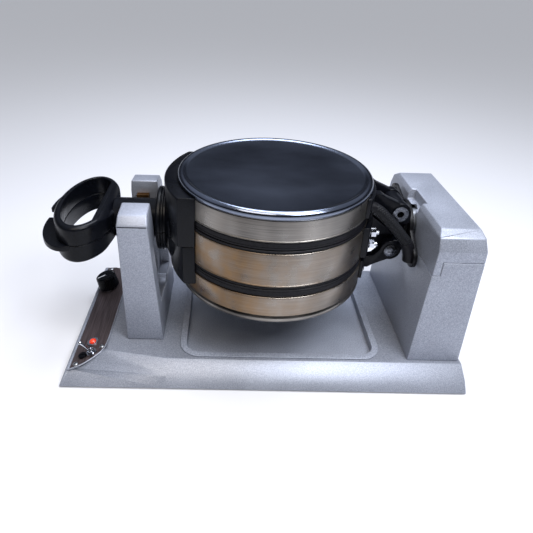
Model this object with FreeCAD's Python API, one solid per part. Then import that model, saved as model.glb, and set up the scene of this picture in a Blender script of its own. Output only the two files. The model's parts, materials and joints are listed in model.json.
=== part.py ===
import FreeCAD, Part
import math
import os

V = FreeCAD.Vector
os.makedirs("parts", exist_ok=True)

# driving sizes, mm; x runs along the machine from the handle to the rear tower
axis_z = 149.0          # height of the spin axis above the bench
drum_r = 104.0
ring_half = 19.0        # half height of the centre ring
lip_h = 3.0             # black lip on each edge of the centre ring
joint_gap = 0.5
heat_ring_h = 8.5
lid_half = 63.0         # axis to the flat face of either lid
rim_r = 5.5
wall_t = 2.0
plate_r = 98.5
base_front = -226.0
base_rear = 212.0
base_half = 113.5
deck_z = 22.0
base_floor = 2.0
shell = 3.0
crease_y = 89.0
knee_y, knee_z = 105.0, 12.0
panel_x0, panel_x1 = -219.0, -183.0
panel_z0, panel_z1 = 13.0, 22.0
tray_x0, tray_x1, tray_y, tray_corner = -97.0, 122.0, 83.0, 20.0
fork_half, slot_half = 60.0, 28.0
fork_top, slot_floor = 182.0, 58.0
tower_half, tower_seam, tower_top = 85.0, 150.0, 182.0
cover_screw_y = (-62.0, 62.0)
neck_r, collar_r = 22.0, 36.0
pivot_x, pivot_up, pin_r, pin_fit = 135.0, 25.0, 5.0, 0.05
arms_at = [(-26.5, -16.5), (10.0, 20.0)]
hub_x0, hub_x1 = 148.5, 153.0
cable_y, cable_r = -42.0, 6.0
journal_r, journal_bore, journal_fit = 18.0, 12.0, 0.05
oval_x, oval_a, oval_b, handle_h = -205.5, 33.0, 67.0, 21.0

slope = math.atan2(panel_z1 - panel_z0, -181.0 + 218.0)
axis_at = V(0, 0, axis_z)
centre_shift = 14.25    # puts the origin under the middle of the whole machine


def block(x0, x1, y0, y1, z0, z1):
    return Part.makeBox(x1 - x0, y1 - y0, z1 - z0, V(x0, y0, z0))


def prism_xz(points, y0, y1):
    face = Part.Face(Part.makePolygon([V(x, y0, z) for x, z in points + points[:1]]))
    return face.extrude(V(0, y1 - y0, 0))


def prism_yz(points, x0, x1):
    face = Part.Face(Part.makePolygon([V(x0, y, z) for y, z in points + points[:1]]))
    return face.extrude(V(x1 - x0, 0, 0))


def prism_xy(points, z0, z1):
    face = Part.Face(Part.makePolygon([V(x, y, z0) for x, y in points + points[:1]]))
    return face.extrude(V(0, 0, z1 - z0))


def rod(p, q, r):
    p, q = V(*p), V(*q)
    return Part.makeCylinder(r, (q - p).Length, p, q - p)


def tube(p, q, r, bore):
    return rod(p, q, r).cut(rod(p, q, bore))


def disc(z0, z1, r):
    return Part.makeCylinder(r, z1 - z0, V(0, 0, z0))


def ring(z0, z1, r1, r0):
    return disc(z0, z1, r1).cut(disc(z0, z1, r0))


def turned(points):
    face = Part.Face(Part.makePolygon([V(r, 0, z) for r, z in points + points[:1]]))
    return face.revolve(V(0, 0, 0), V(0, 0, 1), 360)


def oval(a, b, x, y, z0, z1):
    curve = Part.Ellipse(V(x, y + b, z0), V(x - a, y, z0), V(x, y, z0))
    return Part.Face(Part.Wire(curve.toShape())).extrude(V(0, 0, z1 - z0))


def flip(shape):
    out = shape.copy()
    out.rotate(axis_at, V(1, 0, 0), 180)
    return out


def join(shapes):
    out = shapes[0]
    if len(shapes) > 1:
        out = out.fuse(shapes[1:])
    return out.removeSplitter()


def rounded_box(x0, x1, y0, y1, z0, z1, r):
    box = block(x0, x1, y0, y1, z0, z1)
    upright = [e for e in box.Edges if abs(e.tangentAt(e.FirstParameter).z) > 0.9]
    return box.makeFillet(r, upright)


def on_panel(shape, x, y):
    out = shape.copy()
    out.rotate(V(0, 0, 0), V(0, 1, 0), -math.degrees(slope))
    rise = panel_z0 + (x + 218.0) * math.tan(slope)
    out.translate(V(x, y, rise))
    return out


def half_turned_x(points):
    face = Part.Face(Part.makePolygon([V(x, r, 0) for x, r in points + points[:1]]))
    solid = face.revolve(V(0, 0, 0), V(1, 0, 0), 360)
    solid.translate(axis_at)
    return solid.common(block(-400, 400, -200, 200, axis_z + joint_gap / 2, axis_z + 300))


# ---- base ---------------------------------------------------------------

def base_body(i):
    right = base_rear - i
    lip_x = base_front + 4.0 + i
    lip_z = panel_z1 - (-181.0 - lip_x) * math.tan(slope) - i
    near = {"a": (-180.0, -78.0 + i * 0.5, deck_z - i), "q": (-113.0, -crease_y + i * 0.5, deck_z - i),
            "r": (right, -crease_y + i * 0.5, deck_z - i),
            "p": (-113.0, -knee_y + i * 1.1, knee_z - i * 0.4),
            "s": (right, -knee_y + i * 1.1, knee_z - i * 0.4), "l": (lip_x, -97.0 + i * 1.2, lip_z),
            "u": (-113.0, -base_half + i * 1.3, base_floor), "t": (right, -base_half + i * 1.3, base_floor),
            "c": (base_front + i, -base_half + i * 1.3, base_floor)}
    at = {k: V(*p) for k, p in near.items()}
    at.update({k.upper(): V(x, -y, z) for k, (x, y, z) in near.items()})
    loops = ["aqrRQA", "aALl", "lLCc", "rstTSR", "cCUTtu"]
    for loop in ("aqp", "apl", "qrsp", "pstu", "lpu", "luc"):
        loops += [loop, loop.upper()]
    faces = [Part.Face(Part.makePolygon([at[k] for k in loop + loop[0]])) for loop in loops]
    return Part.makeSolid(Part.makeShell(faces))


def panel_outline():
    right = [(panel_x0, -98.0), (-206.0, -95.0), (-195.0, -87.0), (panel_x1, -74.0)]
    return right + [(x, -y) for x, y in reversed(right)]


def panel_slab(depth, height, grow):
    pts = [(x + (grow if x > -200 else -grow) + 200.0, y + (grow if y > 0 else -grow))
           for x, y in panel_outline()]
    slab = prism_xy(pts, -depth, height)
    return on_panel(slab, -200.0, 0)


def base_housing():
    body = base_body(0).cut(base_body(shell))
    body = body.cut(block(base_front + 4, base_rear - 4, -base_half + 4, base_half - 4, 0, 3.9))
    body = body.cut(rounded_box(tray_x0 + 2, tray_x1 - 2, -tray_y + 2, tray_y - 2,
                                deck_z - 8, deck_z + 8, tray_corner - 2))
    ledge = panel_slab(4.2, -1.0, 2.0).common(base_body(1.0))
    body = join([body, ledge])
    body = body.cut(panel_slab(1.8, 6.0, 0))
    body = body.cut(panel_slab(9.0, 6.0, -5.0))
    for at in screws_at:
        body = body.cut(on_panel(rod((0, 0, -6), (0, 0, 2), 1.6), *at))
    body = body.cut(on_panel(block(-4.4, 4.4, -6.9, 6.9, -12.0, -1.8), *toggle_at))
    for y in (-62.0, 62.0):
        body = body.cut(rod((182.0, y, 10), (182.0, y, 30), 12.0))
    return body


def bottom_cover():
    plate = rounded_box(base_front + 4.5, base_rear - 4.5, -base_half + 4.5, base_half - 4.5,
                        base_floor, base_floor + 1.6, 6)
    for x in (-60, 0, 60):
        for y in (-95, 95):
            plate = plate.cut(block(x - 15, x + 15, y - 2, y + 2, 0, 8))
    return plate


def feet_at():
    return [(x, y) for x in (-200.0, 186.0) for y in (-92.0, 92.0)]


def rubber_feet():
    return join([rod((x, y, 0), (x, y, base_floor), 11.0) for x, y in feet_at()])


def tray():
    pan = rounded_box(tray_x0 + 2.5, tray_x1 - 2.5, -tray_y + 2.5, tray_y - 2.5, 12.6, deck_z + 0.5,
                      tray_corner - 2.5)
    pan = pan.cut(rounded_box(tray_x0 + 4, tray_x1 - 4, -tray_y + 4, tray_y - 4, 14.0, deck_z + 5,
                              tray_corner - 4))
    rim = rounded_box(tray_x0 - 3, tray_x1 + 3, -tray_y - 3, tray_y + 3, deck_z + 0.4,
                      deck_z + 1.6, tray_corner + 2)
    rim = rim.cut(rounded_box(tray_x0 + 4, tray_x1 - 4, -tray_y + 4, tray_y - 4, 14.0,
                              deck_z + 5, tray_corner - 4))
    return join([pan, rim])


# ---- front fork ---------------------------------------------------------

def fork_side(i):
    return [(-161.0 + i, deck_z), (-163.0 + i, 169.0), (-162.0 + i, fork_top + 1),
            (-132.5 - i, fork_top + 1), (-131.0 - i, 169.0), (-120.0 - i, deck_z)]


def fork_front(i):
    right = [(fork_half - i, deck_z), (fork_half - i, 169.4 - i * 0.6), (52.5 - i, 178.6 - i),
             (slot_half - 6, fork_top - i)]
    return [(-y, z) for y, z in right] + list(reversed(right))


def slot_tool(half, floor):
    tool = block(-190, -90, -half, half, floor + half, 300)
    return join([tool, rod((-190, 0, floor + half), (-90, 0, floor + half), half)])


def front_fork():
    outer = prism_xz(fork_side(0), -80, 80).common(prism_yz(fork_front(0), -200, -100))
    inner = prism_xz(fork_side(4.0), -80, 80).common(prism_yz(fork_front(4.0), -200, -100))
    inner = inner.cut(slot_tool(slot_half + 4.0, slot_floor - 4.0))
    relief = block(-134.5, -90, -41, 41, 62, 140)
    inner = inner.cut(block(-138.5, -90, -45, 45, 50, 152))
    body = outer.cut(inner).cut(slot_tool(slot_half, slot_floor)).cut(relief)
    for s in (-1, 1):
        body = body.cut(block(-156.0, -142.0, min(s * 20, s * 31), max(s * 20, s * 31), 158.5, 165.5))
    return body


def fork_pads():
    pads = []
    for s in (-1, 1):
        inner, outer = sorted((s * (neck_r + 0.6), s * 31.0))
        pads.append(block(-156.0, -142.0, inner, outer, 158.5, 165.5))
    return Part.makeCompound(pads)


# ---- control panel ------------------------------------------------------

knob_at, lens_at, toggle_at, fuse_at = (-205.0, 48.0), (-201.0, -60.0), (-197.5, -79.0), (-207.5, -81.0)
screws_at = [(-212.5, -92.0), (-188.5, -70.0), (-212.5, 92.0), (-188.5, 70.0)]
panel_top = -0.6


def control_panel():
    plate = panel_slab(1.8, panel_top, -0.3)
    for at, r in ((knob_at, 4.2), (lens_at, 4.6), (toggle_at, 4.2), (fuse_at, 3.0)):
        plate = plate.cut(on_panel(rod((0, 0, -9), (0, 0, 9), r), *at))
    for at in screws_at:
        plate = plate.cut(on_panel(rod((0, 0, -9), (0, 0, 9), 1.6), *at))
    return plate


def dome(r, z, h):
    big = (r * r + h * h) / (2 * h)
    ball = Part.makeSphere(big, V(0, 0, z + h - big))
    return ball.common(rod((0, 0, z), (0, 0, z + h + 1), r))


def panel_screws():
    heads = []
    for at in screws_at:
        screw = join([dome(3.1, panel_top, 1.6), rod((0, 0, -3.6), (0, 0, panel_top + 0.2), 1.5)])
        screw = screw.cut(block(-3.5, 3.5, -0.4, 0.4, panel_top + 0.9, 3))
        heads.append(on_panel(screw, *at))
    return Part.makeCompound(heads)


def indicator_bezel():
    flange = tube((0, 0, panel_top), (0, 0, panel_top + 1.2), 6.4, 4.0)
    return on_panel(join([flange, tube((0, 0, -7.5), (0, 0, panel_top), 4.5, 4.0)]), *lens_at)


def indicator_lens():
    return on_panel(join([dome(4.0, 1.0, 2.6), rod((0, 0, -5.5), (0, 0, 1.0), 4.0)]), *lens_at)


def toggle_bushing():
    body = tube((0, 0, -2.5), (0, 0, 4.8), 4.0, 2.4)
    flare = Part.makeCone(2.2, 3.7, 2.8, V(0, 0, 2.2))
    return on_panel(body.cut(flare), *toggle_at)


def toggle_nut():
    hexagon = [(6.0 * math.cos(math.radians(a)), 6.0 * math.sin(math.radians(a)))
               for a in range(0, 360, 60)]
    nut = prism_xy(hexagon, panel_top, panel_top + 2.4).cut(rod((0, 0, -3), (0, 0, 9), 4.0))
    return on_panel(nut, *toggle_at)


def toggle_body():
    return on_panel(rounded_box(-4.0, 4.0, -6.5, 6.5, -9.0, -2.5, 1.0), *toggle_at)


def toggle_lever():
    lean = -28.0
    lever = join([rod((0, 0, 1.5), (0, 0, 18.0), 1.35), Part.makeSphere(1.9, V(0, 0, 1.6)),
                  rod((0, -2.2, 1.6), (0, 2.2, 1.6), 0.9),
                  Part.makeCone(1.35, 2.3, 8.0, V(0, 0, 10.5)), Part.makeSphere(2.3, V(0, 0, 18.5))])
    lever.rotate(V(0, 0, 1.6), V(0, 1, 0), lean)
    return on_panel(lever, *toggle_at)


def fuse_holder():
    cap = join([rod((0, 0, -7.0), (0, 0, panel_top), 2.9), rod((0, 0, panel_top), (0, 0, 1.6), 4.4)])
    return on_panel(cap.cut(block(-5, 5, -0.5, 0.5, 0.9, 3)), *fuse_at)


def knob_control():
    body = join([rod((0, 0, -8.5), (0, 0, -1.9), 8.4), tube((0, 0, -1.8), (0, 0, 2.0), 4.1, 3.05)])
    return on_panel(body.cut(rod((0, 0, -6.0), (0, 0, 3.0), 3.05)), *knob_at)


def knob():
    body = Part.makeCone(13.4, 12.7, 15.0, V(0, 0, 2.4))
    for k in range(36):
        a = math.radians(k * 10)
        x, y = 13.7 * math.cos(a), 13.7 * math.sin(a)
        body = body.cut(rod((x, y, 2), (x * 0.95, y * 0.95, 18), 0.7))
    body = join([body, Part.makeCone(11.8, 10.6, 1.6, V(0, 0, 17.4))])
    body = body.cut(rod((0, 0, 2), (0, 0, 3.4), 6.0))
    body = body.cut(pointer_bar(0.0))
    shaft = rod((0, 0, -5.6), (0, 0, 6.0), 3.0)
    return on_panel(join([body, shaft]), *knob_at)


def pointer_bar(low):
    bar = block(-12.0, 0.0, -0.8, 0.8, 18.2 + low, 19.4)
    bar.rotate(V(0, 0, 0), V(0, 0, 1), 28)
    return bar


def knob_pointer():
    return on_panel(pointer_bar(0.0).common(rod((0, 0, 0), (0, 0, 19.0), 10.4)), *knob_at)


# ---- rear tower ---------------------------------------------------------

def tower_along(i, z0, z1):
    def front(z):
        return 152.5 + (z - deck_z) * 5.0 / 128.0 + i

    def back(z):
        return 209.5 - (z - deck_z) * 2.5 / 128.0 - i
    return [(front(z0), z0), (front(z1), z1), (back(z1), z1), (back(z0), z0)]


def tower_housing():
    outer = prism_xz(tower_along(0, deck_z, tower_seam), -tower_half, tower_half)
    t = 2.5
    inner = prism_xz(tower_along(t, deck_z, tower_seam + 1), -tower_half + t, tower_half - t)
    body = outer.cut(inner)
    body = body.cut(block(100, 165.6, -tower_half - 1, tower_half + 1, 134.0, 160))
    body = body.cut(rod((140, 0, axis_z), (170, 0, axis_z), 22.0))
    body = body.cut(rod((190, -55, 40), (230, -55, 40), 7.0))
    return body


def cover_body():
    along = [(156.9, 134.3), (158.6, 176.0), (162.0, tower_top), (201.5, tower_top),
             (204.6, 175.6), (206.6, 163.4), (207.2, tower_seam + 0.3), (165.3, tower_seam + 0.3),
             (165.3, 134.3)]
    across = [(tower_half, 134.3), (tower_half, 163.4), (79.5, 175.6), (70.0, tower_top)]
    across = [(-y, z) for y, z in across] + list(reversed(across))
    return prism_xz(along, -tower_half, tower_half).common(prism_yz(across, 120, 230))


def tower_cover():
    t = 3.4
    inner_along = [(160.3, 130.0), (161.0, 172.0), (165.0, tower_top - t), (198.5, tower_top - t),
                   (201.2, 174.0), (203.2, 163.0), (203.8, 130.0)]
    across = [(tower_half - t, 130.0), (tower_half - t, 162.6), (77.2, 173.4), (68.6, tower_top - t)]
    across = [(-y, z) for y, z in across] + list(reversed(across))
    inner = prism_xz(inner_along, -tower_half, tower_half).common(prism_yz(across, 120, 230))
    body = cover_body().cut(inner)
    notch = block(150, 167, -15, 22, 170, 190)
    notch_shell = block(155, 170.4, -18.4, 25.4, 167.6, tower_top - 1)
    body = join([body, notch_shell.common(cover_body())]).cut(notch)
    body = body.cut(rod((140, 0, axis_z), (163, 0, axis_z), 22.0))
    for y in cover_screw_y:
        body = body.cut(rod((195.0, y, 156.5), (215.0, y, 156.5), 2.0))
    return body


def cover_screws():
    screws = []
    for y in cover_screw_y:
        screws.append(join([rod((198.0, y, 156.5), (207.4, y, 156.5), 1.9),
                            rod((207.3, y, 156.5), (209.2, y, 156.5), 3.6)]))
    return screws


def bearing_block():
    outline = [(-46, deck_z + 0.5), (46, deck_z + 0.5), (46, deck_z + 7), (30, 112), (30, 176), (-30, 176),
               (-30, 112), (-46, deck_z + 7)]
    body = prism_yz(outline, 171.0, 192.0)
    for s in (-1, 1):
        body = body.cut(prism_yz([(s * 6, 34), (s * 6, 100), (s * 24, 100), (s * 36, 34)], 160, 200))
    body = body.cut(rod((150, 0, axis_z), (200, 0, axis_z), journal_r + 4.0))
    return body.fuse(block(160.5, 172.0, 24.5, 29.0, 125.0, 133.0))


def bearing_bush():
    return tube((170.8, 0, axis_z), (193.0, 0, axis_z), journal_r + 4.0, journal_r + journal_fit)


def control_board():
    board = block(199.0, 200.6, -68, 68, 44, 128)
    parts = [block(189.5, 199.0, y, y + 18, z, z + 22) for y, z in ((-60, 54), (40, 60), (44, 96))]
    parts += [rod((188.0, y, 112), (199.0, y, 112), 5.0) for y in (-56, -40)]
    return join([board] + parts)


def terminal_block():
    body = block(168.0, 186.0, -76, -58, deck_z + 0.4, deck_z + 18)
    for x in (171.5, 177.0, 182.5):
        body = body.cut(rod((x, -67, deck_z + 12), (x, -67, deck_z + 20), 1.9))
    return body


def cord_gland():
    body = join([rod((206.0, -55, 40), (211.5, -55, 40), 6.9), rod((209.6, -55, 40), (214.0, -55, 40), 10.5),
                 rod((214.0, -55, 40), (222.0, -55, 40), 7.4)])
    return body.cut(rod((200.0, -55, 40), (226.0, -55, 40), 4.2))


# ---- drum ---------------------------------------------------------------

z_ring = axis_z + ring_half
z_lip = z_ring + lip_h
z_heat = z_lip + joint_gap
z_wall = z_heat + heat_ring_h
z_lid = axis_z + lid_half


studs_at = [(y, dz) for y in (-36.0, 36.0) for dz in (-7.0, 7.0)]


def centre_ring():
    body = ring(2 * axis_z - z_ring, z_ring, drum_r, drum_r - wall_t)
    for y, dz in studs_at:
        body = body.cut(rod((90, y, axis_z + dz), (110, y, axis_z + dz), 2.5))
    return body


def lip_ring():
    return ring(z_ring, z_lip, drum_r - 0.4, 99.4)


def centre_core():
    height = ring_half - 4.4
    body = join([disc(axis_z - 4, axis_z + 4, 101.7),
                 ring(axis_z - height, axis_z + height, 101.7, 97.0)])
    for a in range(0, 360, 60):
        c, s = math.cos(math.radians(a)), math.sin(math.radians(a))
        body = body.cut(rod((55 * c, 55 * s, axis_z - 6), (55 * c, 55 * s, axis_z + 6), 9.0))
    return body


def grooves(z0, z1):
    bars = []
    for k in range(-4, 5):
        at, reach = k * 20.0, 88.0
        bars.append(block(at - 1.6, at + 1.6, -reach, reach, z0, z1))
        bars.append(block(-reach, reach, at - 1.6, at + 1.6, z0, z1))
    pattern = bars[0].fuse(bars[1:])
    pattern.rotate(V(0, 0, 0), V(0, 0, 1), 45)
    return pattern.common(disc(z0, z1, 86.0))


def drum_plate():
    plate = disc(z_lip - 7.0, z_lip - 0.9, 99.4)
    return plate.cut(grooves(z_lip - 2.6, z_lip + 1))


def heater(z):
    loop = Part.makeTorus(68.0, 3.2, V(0, 0, z))
    inner = Part.makeTorus(38.0, 3.2, V(0, 0, z))
    return join([loop, inner, rod((38, 0, z), (68, 0, z), 3.0)])


def rear_yoke():
    plate = ring(axis_z - 18, axis_z + 18, drum_r + 6, drum_r)
    plate = plate.common(block(60, 130, -48, 48, 0, 300))
    middle = block(100, hub_x0, -9.5, 9.5, axis_z - 24, axis_z + 24)
    cheek = [(100, axis_z - 6), (138, axis_z - 6), (144, axis_z + 10), (146, pivot_z()), (124, pivot_z()),
             (112, pivot_z() - 4), (100, pivot_z() - 8)]
    y0, y1 = arms_at[0][1] + 0.4, arms_at[1][0] - 0.4
    barrel = join([prism_xz(cheek, y0, y1), rod((pivot_x, y0, pivot_z()), (pivot_x, y1, pivot_z()), 11.0)])
    body = join([plate, middle, barrel, flip(barrel)]).cut(disc(0, 300, drum_r))
    body = body.cut(disc(z_wall - 12, 300, drum_r + 8.5)).cut(flip(disc(z_wall - 12, 300, drum_r + 8.5)))
    for tool in (pin_rod(pin_r), flip(pin_rod(pin_r))):
        body = body.cut(tool)
    for y, dz in studs_at:
        body = body.cut(rod((80, y, axis_z + dz), (130, y, axis_z + dz), 2.5))
        body = body.cut(rod((103.5, y, axis_z + dz), (112, y, axis_z + dz), 6.4))
    return body


def pivot_z():
    return axis_z + pivot_up


def pin_rod(r):
    return rod((pivot_x, -40.0, pivot_z()), (pivot_x, 40.0, pivot_z()), r)


def hinge_pin():
    near, far = arms_at[0][0] - 0.4, arms_at[1][1] + 0.4
    shaft = pin_rod(pin_r).common(block(100, 170, near - 1.4, far + 0.8, 0, 300))
    washer = rod((pivot_x, near - 1.4, pivot_z()), (pivot_x, near, pivot_z()), 8.6)
    head = join([dome(7.6, 1.0, 2.4), rod((0, 0, 0), (0, 0, 1.0), 7.6)])
    head = head.cut(block(-4.2, 4.2, -0.7, 0.7, 2.0, 5)).cut(block(-0.7, 0.7, -4.2, 4.2, 2.0, 5))
    head.rotate(V(0, 0, 0), V(1, 0, 0), -90)
    head.translate(V(pivot_x, far, pivot_z()))
    bore = rod((pivot_x, near - 5, pivot_z()), (pivot_x, near + 9, pivot_z()), 3.7)
    return join([shaft, washer, head]).cut(bore)


def yoke_nuts():
    nuts = []
    for y, dz in studs_at:
        corners = [math.radians(a) for a in range(0, 360, 60)]
        outline = [(y + 5.2 * math.sin(a), axis_z + dz + 5.2 * math.cos(a)) for a in corners]
        nut = prism_yz(outline, 103.6, 108.6)
        nuts.append(join([nut, rod((95.8, y, axis_z + dz), (112, y, axis_z + dz), 2.4)]))
    return nuts


def hub_flange():
    ear_y, ear_z, ear_r = cable_y, -18.0, 12.0
    span = math.hypot(ear_y, ear_z)
    uy, uz = -ear_z / span, ear_y / span
    strip = [(uy * 20, uz * 20), (-uy * 20, -uz * 20), (ear_y - uy * ear_r, ear_z - uz * ear_r),
             (ear_y + uy * ear_r, ear_z + uz * ear_r)]
    ear = join([prism_yz([(y, axis_z + z) for y, z in strip], hub_x0, hub_x1),
                rod((hub_x0, ear_y, axis_z + ear_z), (hub_x1, ear_y, axis_z + ear_z), ear_r)])
    plate = join([rod((hub_x0, 0, axis_z), (hub_x1, 0, axis_z), 28.0), ear, flip(ear)])
    return plate.cut(rod((140, 0, axis_z), (160, 0, axis_z), journal_r))


def journal():
    return tube((hub_x0, 0, axis_z), (197.0, 0, axis_z), journal_r, journal_bore)


def journal_collar():
    return tube((193.4, 0, axis_z), (197.0, 0, axis_z), 24.0, journal_r)


def cable():
    y, r = cable_y, cable_r
    pts = [(88.0, 192.7), (105.0, 187.2), (130.3, 161.7), (143.0, 147.0), (147.0, 132.0)]
    pts = [V(x, y, z) for x, z in pts]
    edges, last, bend = [], pts[0], 7.0
    for a, b, c in zip(pts, pts[1:], pts[2:]):
        u, w = (b - a).normalize(), (c - b).normalize()
        start, end = b - u * bend, b + w * bend
        half = u.getAngle(w) / 2
        if half < 0.02:
            continue
        mid_dir = (w - u).normalize()
        radius = bend / math.tan(half)
        centre = b + mid_dir * (radius / math.cos(half))
        arc_mid = centre - mid_dir * radius
        edges.append(Part.LineSegment(last, start).toShape())
        edges.append(Part.Arc(start, arc_mid, end).toShape())
        last = end
    edges.append(Part.LineSegment(last, pts[-1]).toShape())
    spine = Part.Wire(edges)
    first = (pts[1] - pts[0]).normalize()
    profile = Part.Wire(Part.makeCircle(r, pts[0], first))
    sleeve = spine.makePipeShell([profile], True, False)
    boot = Part.makeCone(6.9, 6.5, 16.0, pts[0], pts[1] - pts[0])
    down = (pts[-1] - pts[-2]).normalize()
    bulge = join([Part.makeCone(6.3, 7.8, 11.0, pts[-1] - down * 11.0, down), Part.makeSphere(7.8, pts[-1])])
    lead = join([sleeve, boot, bulge]).cut(disc(0, 300, drum_r))
    return lead.cut(block(hub_x0, 200, -60, 0, 0, 300))


# ---- lids, made as the top one and turned over for the bottom one ---------

def lid_wall():
    return arm_screw_holes(ring(z_wall, z_lid - rim_r - 2, drum_r, drum_r - wall_t))


def lid_cap():
    cap = disc(z_lid - rim_r - 2, z_lid, drum_r)
    cap = cap.makeFillet(rim_r, [e for e in cap.Edges if e.BoundBox.ZMin > z_lid - 1])
    return cap.cut(disc(z_lid - rim_r - 3, z_lid - 2.0, drum_r - wall_t - 2.5))


def heat_ring():
    return ring(z_heat, z_wall, drum_r - 0.6, 99.4)


def lid_plate():
    plate = disc(z_lip + 1.6, z_wall - 0.4, 99.4)
    return plate.cut(grooves(z_lip, z_lip + 3.2))


def lid_heater():
    return heater(z_wall + 3.0)


def lid_lining():
    return disc(z_wall + 10.0, z_lid - 8.0, drum_r - wall_t - 0.3)


def front_bracket(outer, top, y0, y1):
    low = axis_z + joint_gap / 2
    body = turned([(drum_r + 0.7, low), (outer - 0.8, low), (outer, low + 0.8), (outer, top - 1.2),
                   (outer - 1.2, top), (drum_r, top), (drum_r, z_wall + 0.5), (drum_r + 0.7, z_wall - 0.5)])
    return body.common(block(-130, -60, y0, y1, 0, 300))


screw_y = (-14.0, 14.0)
arm_screw_y = (-3.3, 26.0)


def arm_screw_holes(body):
    for y in arm_screw_y:
        body = body.cut(rod((90, y, z_wall + 14), (130, y, z_wall + 14), 2.1))
    return body


def front_neck(outer):
    profile = [(-176.0, 0), (-176.0, neck_r), (-127.5, neck_r), (-127.5, collar_r - 1.5),
               (-126.0, collar_r), (-122.8, collar_r), (-122.8, collar_r - 1.6), (-121.6, collar_r - 1.6),
               (-121.6, collar_r + 0.4), (-119.6, collar_r + 0.4), (-119.6, collar_r - 1.4),
               (-116.8, collar_r - 1.4), (-112.0, 44.0), (-104.0, 48.0), (-104.0, 0)]
    body = half_turned_x(profile)
    for y in screw_y:
        body = body.cut(rod((-171.5, y, axis_z + 6), (-190.0, y, axis_z + 6), 2.1))
    return body.cut(disc(0, 300, outer))


def handle():
    low = axis_z + joint_gap / 2
    high = axis_z + handle_h
    body = oval(oval_a, oval_b, oval_x, 0, low, high)
    body = body.makeFillet(4.5, [e for e in body.Edges if e.BoundBox.ZMin > high - 0.5])
    hole = oval(oval_a - 7.5, oval_b - 7.5, oval_x, 0, low - 1, high + 1)
    hole = hole.cut(block(-190.0, -100, -200, 200, 0, 300))
    ramp = prism_xz([(-184.5, high + 1), (-184.5, high - 0.6), (-168.0, low + 11), (-168.0, high + 1)],
                    -80, 80)
    socket = half_turned_x([(-176.0, 0), (-176.0, neck_r), (-160, neck_r), (-160, 0)])
    body = body.cut(hole).cut(ramp).cut(socket)
    for y in screw_y:
        body = body.cut(rod((-171.5, y, axis_z + 6), (-195.0, y, axis_z + 6), 2.1))
    lobe = oval(32.5, 56.0, -218.0, 12.0, low, low + 6.0)
    lobe = lobe.common(block(-260, -206, 5, 90, 0, 300))
    lobe = lobe.cut(oval(oval_a - 4, oval_b - 4, oval_x, 0, low - 1, high))
    return join([body, lobe])


def neck_screws():
    screws = []
    for y in screw_y:
        screws.append(join([rod((-172.0, y, axis_z + 6), (-190.0, y, axis_z + 6), 2.0),
                            rod((-190.0, y, axis_z + 6), (-192.4, y, axis_z + 6), 3.8)]))
    return screws


def arm_screw_x(y):
    return math.sqrt((drum_r + 4.0) ** 2 - y * y)


def hinge_arms():
    plate = ring(z_wall + 1.0, z_lid - 9.0, drum_r + 4.0, drum_r)
    plate = plate.common(block(60, 130, cable_y - 11, 34, 0, 300))
    side = [(88, 197), (112, 197), (118, 192.8), (132.5, 186.2), (144.5, 180), (147.5, 173), (147.5, 164.5),
            (145, 161), (136.5, 160.5), (128.5, 167.5), (116, 181), (106, 184.2), (88, 184.2)]
    arms = []
    for y0, y1 in arms_at:
        arm = prism_xz(side, y0, y1)
        arms.append(join([arm, rod((pivot_x, y0, pivot_z()), (pivot_x, y1, pivot_z()), 12.0)]))
    body = join([plate] + arms).cut(disc(0, 300, drum_r)).cut(pin_rod(pin_r + pin_fit))
    for y in arm_screw_y:
        x = arm_screw_x(y)
        body = body.cut(rod((x - 0.6, y, z_wall + 14), (x + 6, y, z_wall + 14), 4.3))
    body = body.cut(rod((88.0, cable_y, 192.7), (105.0, cable_y, 187.2), 7.1))
    return arm_screw_holes(body)


def arm_screws():
    screws = []
    for y in arm_screw_y:
        x = arm_screw_x(y)
        screws.append(join([rod((x - 5.6, y, z_wall + 14), (x + 1.0, y, z_wall + 14), 1.9),
                            rod((x - 0.6, y, z_wall + 14), (x + 2.2, y, z_wall + 14), 4.0)]))
    return screws


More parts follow.
